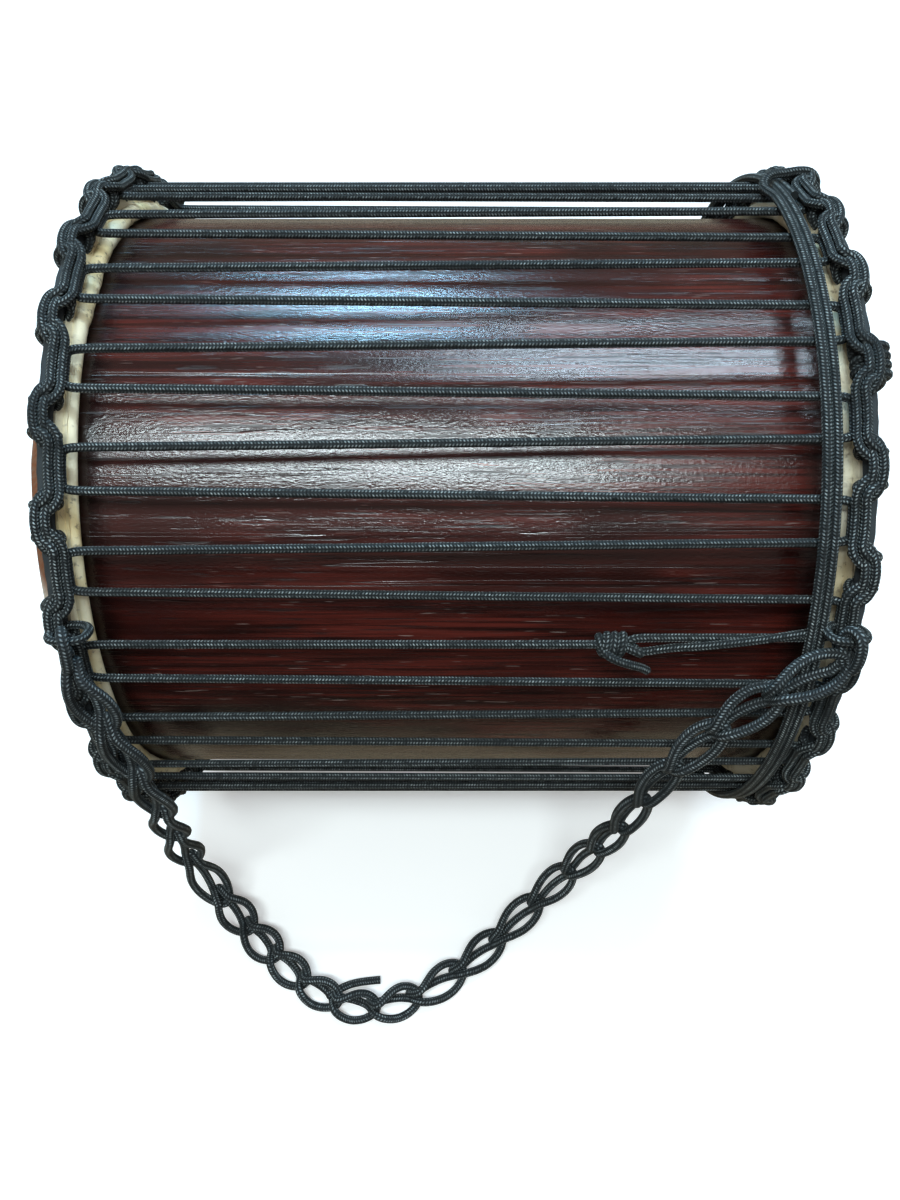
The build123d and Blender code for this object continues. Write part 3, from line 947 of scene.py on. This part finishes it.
def strap_frames(spots):
    """Distance along, point, direction, front and side at each spot of the strap's line."""
    frames = []
    travel = 0.0
    front = Vector(STRAP_FRONT)
    for i, spot in enumerate(spots):
        ahead = spots[min(i + 1, len(spots) - 1)]
        behind = spots[max(i - 1, 0)]
        run = (ahead - behind).normalized()
        if i:
            travel += (spot - spots[i - 1]).length
        angle = STRAP_ROLL * sin(STRAP_ROLL_RATE * travel + STRAP_ROLL_START)
        roll = Matrix.Rotation(angle, 3, run)
        facing = roll @ (front - run * front.dot(run)).normalized()
        frames.append((travel, spot, run, facing, run.cross(facing)))
    return frames


def frame_at(frames, distance):
    """The strap's point, direction, front and side at a distance along it."""
    distance = max(0.0, min(frames[-1][0], distance))
    for a, b in zip(frames, frames[1:]):
        if distance <= b[0]:
            share = (distance - a[0]) / max(1e-9, b[0] - a[0])
            return [a[i].lerp(b[i], share) for i in range(1, 5)]
    return list(frames[-1][1:])


def stitch_size(place):
    """The pitch, the half width and the share of the height of the stitch at a place along the strap."""
    for a, b in zip(STRAP_STITCHES, STRAP_STITCHES[1:]):
        if place <= b[0]:
            share = (place - a[0]) / (b[0] - a[0])
            return [a[i] + (b[i] - a[i]) * share for i in (1, 2, 3)]
    return STRAP_STITCHES[-1][1:]


def chain_points(frames):
    """The line of the rope through every stitch of the chain, from end to end."""
    length = frames[-1][0]
    pitches = []
    place = STITCH_START
    while place < length:
        pitches.append(stitch_size(place)[0])
        place += pitches[-1]
    fit = (length - STITCH_START) / (sum(pitches) + STITCH_PAST * pitches[-1])
    start, run, facing, beside = frame_at(frames, 0)
    points = [start - facing * 0.3 * STRAP_ROPE, start - facing * 0.8 * STRAP_ROPE]
    place = STITCH_START
    for pitch in pitches:
        half, height = stitch_size(place)[1:]
        for ahead, side, lift in CHAIN_STITCH:
            spot, run, facing, beside = frame_at(frames, place + ahead * (pitch * fit))
            point = spot + beside * side * half + facing * lift * height * STRAP_ROPE
            point.z = max(point.z, STRAP_ROPE / 2)
            points.append(point)
        place += pitch * fit
    end, run, facing, beside = frame_at(frames, length)
    return points + [end - facing * 0.9 * STRAP_ROPE - run * 0.006, end - facing * 0.3 * STRAP_ROPE]


def end_link(name, side, end):
    """The strap's last loop, over the bar of the hitch and back into the chain."""
    bar = around(side * HITCH_PLACE, HITCH_RADIUS, HITCH_ANGLE)
    down = end - bar
    down.x = 0
    down.normalize()
    inwards = Vector((1, 0, 0)).cross(down)
    points = []
    for aside, far, deep in END_LINK:
        points.append(bar + Vector((aside, 0, 0)) / 1000 + down * far / 1000 + inwards * deep / 1000)
    piece = rope("strap_link_" + name, points, STRAP_ROPE, closed=True, steps=5)
    return finish_piece(piece, "carrying_strap", strap_rope, "strap_rope", "strap_eye_" + name)


def strap():
    """A chain of rope stitches, each pulled through the last, along the strap's route."""
    line = smooth_route("strap_line", STRAP_ROUTE, steps=12)
    spots = spots_along(line)
    bpy.data.objects.remove(line)
    chain = rope("strap_chain", chain_points(strap_frames(spots)), STRAP_ROPE, steps=3)
    finish_piece(chain, "carrying_strap", strap_rope, "strap_rope", "strap")
    tail = rope("strap_loose_end", STRAP_TAIL_ROUTE, STRAP_ROPE, steps=6)
    finish_piece(tail, "carrying_strap", strap_rope, "strap_rope", "strap_tail")
    links = [end_link("left", -1, spots[0]), end_link("right", 1, spots[-1])]


# The drum and its strap

shell()
head("head_left", -1, left_hide)
head("head_right", 1, right_hide)
for name, side, start in (("left", -1, LEFT_START), ("right", 1, RIGHT_START)):
    hoop_wrap("hoop_wrap_" + name, side)
    loop_rope("loop_rope_" + name, side, start)
    for hoop in ("flesh_hoop_", "crown_hoop_"):
        frame["nodes"][hoop + name].data.materials.clear()
        frame["nodes"][hoop + name].data.materials.append(iron)
    strap_hitch(name, side)
lacing()
tie_knot()
winding()
hoop_lashing("hoop_lashing_right", 1, LASHING_ANGLE)
strap()


# Floor, light and camera

# The floor lies a hair below the drum and glows a little where the background shows
FLOOR_SIZE = 6
FLOOR_DROP = 0.0004
FLOOR_GLOW = 0.24
# The room that shows in the varnish: brown boards, dark in front, a grey ceiling and a tan wall behind
NEAR_BOARDS = (0.46, 0.37, 0.25)
FAR_BOARDS = (0.03, 0.02, 0.015)
BOARDS_DARK, BOARDS_LIT = -0.4, -0.18
DARK_ROOM = (0.0136, 0.0102, 0.0085)
CEILING = (0.211, 0.187, 0.17)
BACK_WALL = (0.238, 0.211, 0.177)
CEILING_START, CEILING_FULL = 0.1, 0.45
WALL_START, WALL_FULL = 0.5, 0.97
# The floor's colour in the light that it throws back, and the strength of the light from all round
BOUNCE = (0.36, 0.31, 0.25)
DAYLIGHT = 0.34
# The height of the picture in pixels, and the focal length, place and tilt that were fitted to it
PICTURE_HEIGHT = 1200
FOCAL_PIXELS = 901
SENSOR = 36
CAMERA_PLACE = (-0.0035, -0.379, AXIS + 0.4517)
CAMERA_TILT = 33.54


def background_rays(tree, rays):
    """1 for the rays that show the background: to the camera, mirrored, or through something clear."""
    seen = plus(tree, rays.outputs["Is Camera Ray"], rays.outputs["Is Glossy Ray"])
    return maths(tree, "MINIMUM", plus(tree, seen, rays.outputs["Is Transmission Ray"]), 1.0)


def floor():
    """A plain pale floor, which the varnish mirrors in brown."""
    bpy.ops.mesh.primitive_plane_add(size=FLOOR_SIZE, location=(0, 0, -FLOOR_DROP))
    ground = bpy.context.active_object
    ground.name = "floor"
    finish, tree, shader, places = new_finish("pale_floor")
    place = places.outputs["Object"]
    rays = tree.nodes.new("ShaderNodeLightPath")
    mirrored = rays.outputs["Is Glossy Ray"]
    pale = blended(tree, grain(tree, place, (3, 3, 3), 2.0), (0.95, 0.925, 0.905), (0.97, 0.945, 0.925))
    nearness = between(tree, parts_of(tree, place)["Y"], BOARDS_DARK, BOARDS_LIT)
    boards = blended(tree, nearness, FAR_BOARDS, NEAR_BOARDS)
    lit = blended(tree, mirrored, pale, boards)
    feed(tree, shader.inputs["Base Color"], blended(tree, rays.outputs["Is Diffuse Ray"], lit, BOUNCE))
    feed(tree, shader.inputs["Emission Color"], blended(tree, mirrored, (1, 1, 1), boards))
    feed(tree, shader.inputs["Emission Strength"], times(tree, background_rays(tree, rays), FLOOR_GLOW))
    shader.inputs["Roughness"].default_value = 0.7
    shader.inputs["Specular IOR Level"].default_value = 0.2
    ground.data.materials.append(finish)


def lamp(name, place, aim, wide, deep, watts, colour):
    """A soft box pointed at a place."""
    light = bpy.data.lights.new(name, "AREA")
    light.shape = "RECTANGLE"
    light.size = wide
    light.size_y = deep
    light.energy = watts
    light.color = colour
    holder = bpy.data.objects.new(name, light)
    holder.location = place
    holder.rotation_euler = (Vector(aim) - Vector(place)).to_track_quat("-Z", "Y").to_euler()
    scene.collection.objects.link(holder)


def surroundings():
    """White behind the drum, the room in its varnish, and soft daylight from all round."""
    world = bpy.data.worlds.new("studio")
    scene.world = world
    world.use_nodes = True
    tree = world.node_tree
    sky = tree.nodes["Background"]
    rays = tree.nodes.new("ShaderNodeLightPath")
    heading = parts_of(tree, tree.nodes.new("ShaderNodeTexCoord").outputs["Generated"])
    room = blended(tree, between(tree, heading["Z"], CEILING_START, CEILING_FULL), DARK_ROOM, CEILING)
    room = blended(tree, between(tree, heading["Y"], WALL_START, WALL_FULL), room, BACK_WALL)
    feed(tree, sky.inputs["Color"], blended(tree, rays.outputs["Is Glossy Ray"], (1, 1, 1), room))
    behind = times(tree, background_rays(tree, rays), 1 - DAYLIGHT)
    feed(tree, sky.inputs["Strength"], plus(tree, behind, DAYLIGHT))


def viewpoint():
    """The camera, above the drum's front and looking down at it."""
    camera = bpy.data.cameras.new("camera")
    camera.sensor_fit = "VERTICAL"
    camera.sensor_height = SENSOR
    camera.lens = SENSOR * FOCAL_PIXELS / PICTURE_HEIGHT
    eye = bpy.data.objects.new("camera", camera)
    eye.location = CAMERA_PLACE
    eye.rotation_euler = (radians(CAMERA_TILT), 0, 0)
    scene.collection.objects.link(eye)
    scene.camera = eye


floor()
lamp(
    "front_box", place=(-0.18, -0.86, 2.15), aim=(0, -0.1, 0.3),
    wide=1.3, deep=0.28, watts=36, colour=(0.82, 0.96, 1.0),
)
lamp(
    "window_box", place=(-0.26, 1.5, 2.2), aim=(-0.26, 0, 0.3),
    wide=0.54, deep=0.38, watts=36, colour=(0.36, 0.72, 1.0),
)
lamp(
    "side_box", place=(0.5, 0.42, 2.2), aim=(0.5, 0, 0.3),
    wide=1.0, deep=0.26, watts=23, colour=(0.64, 0.84, 1.0),
)
surroundings()
viewpoint()
scene.view_settings.view_transform = "Standard"
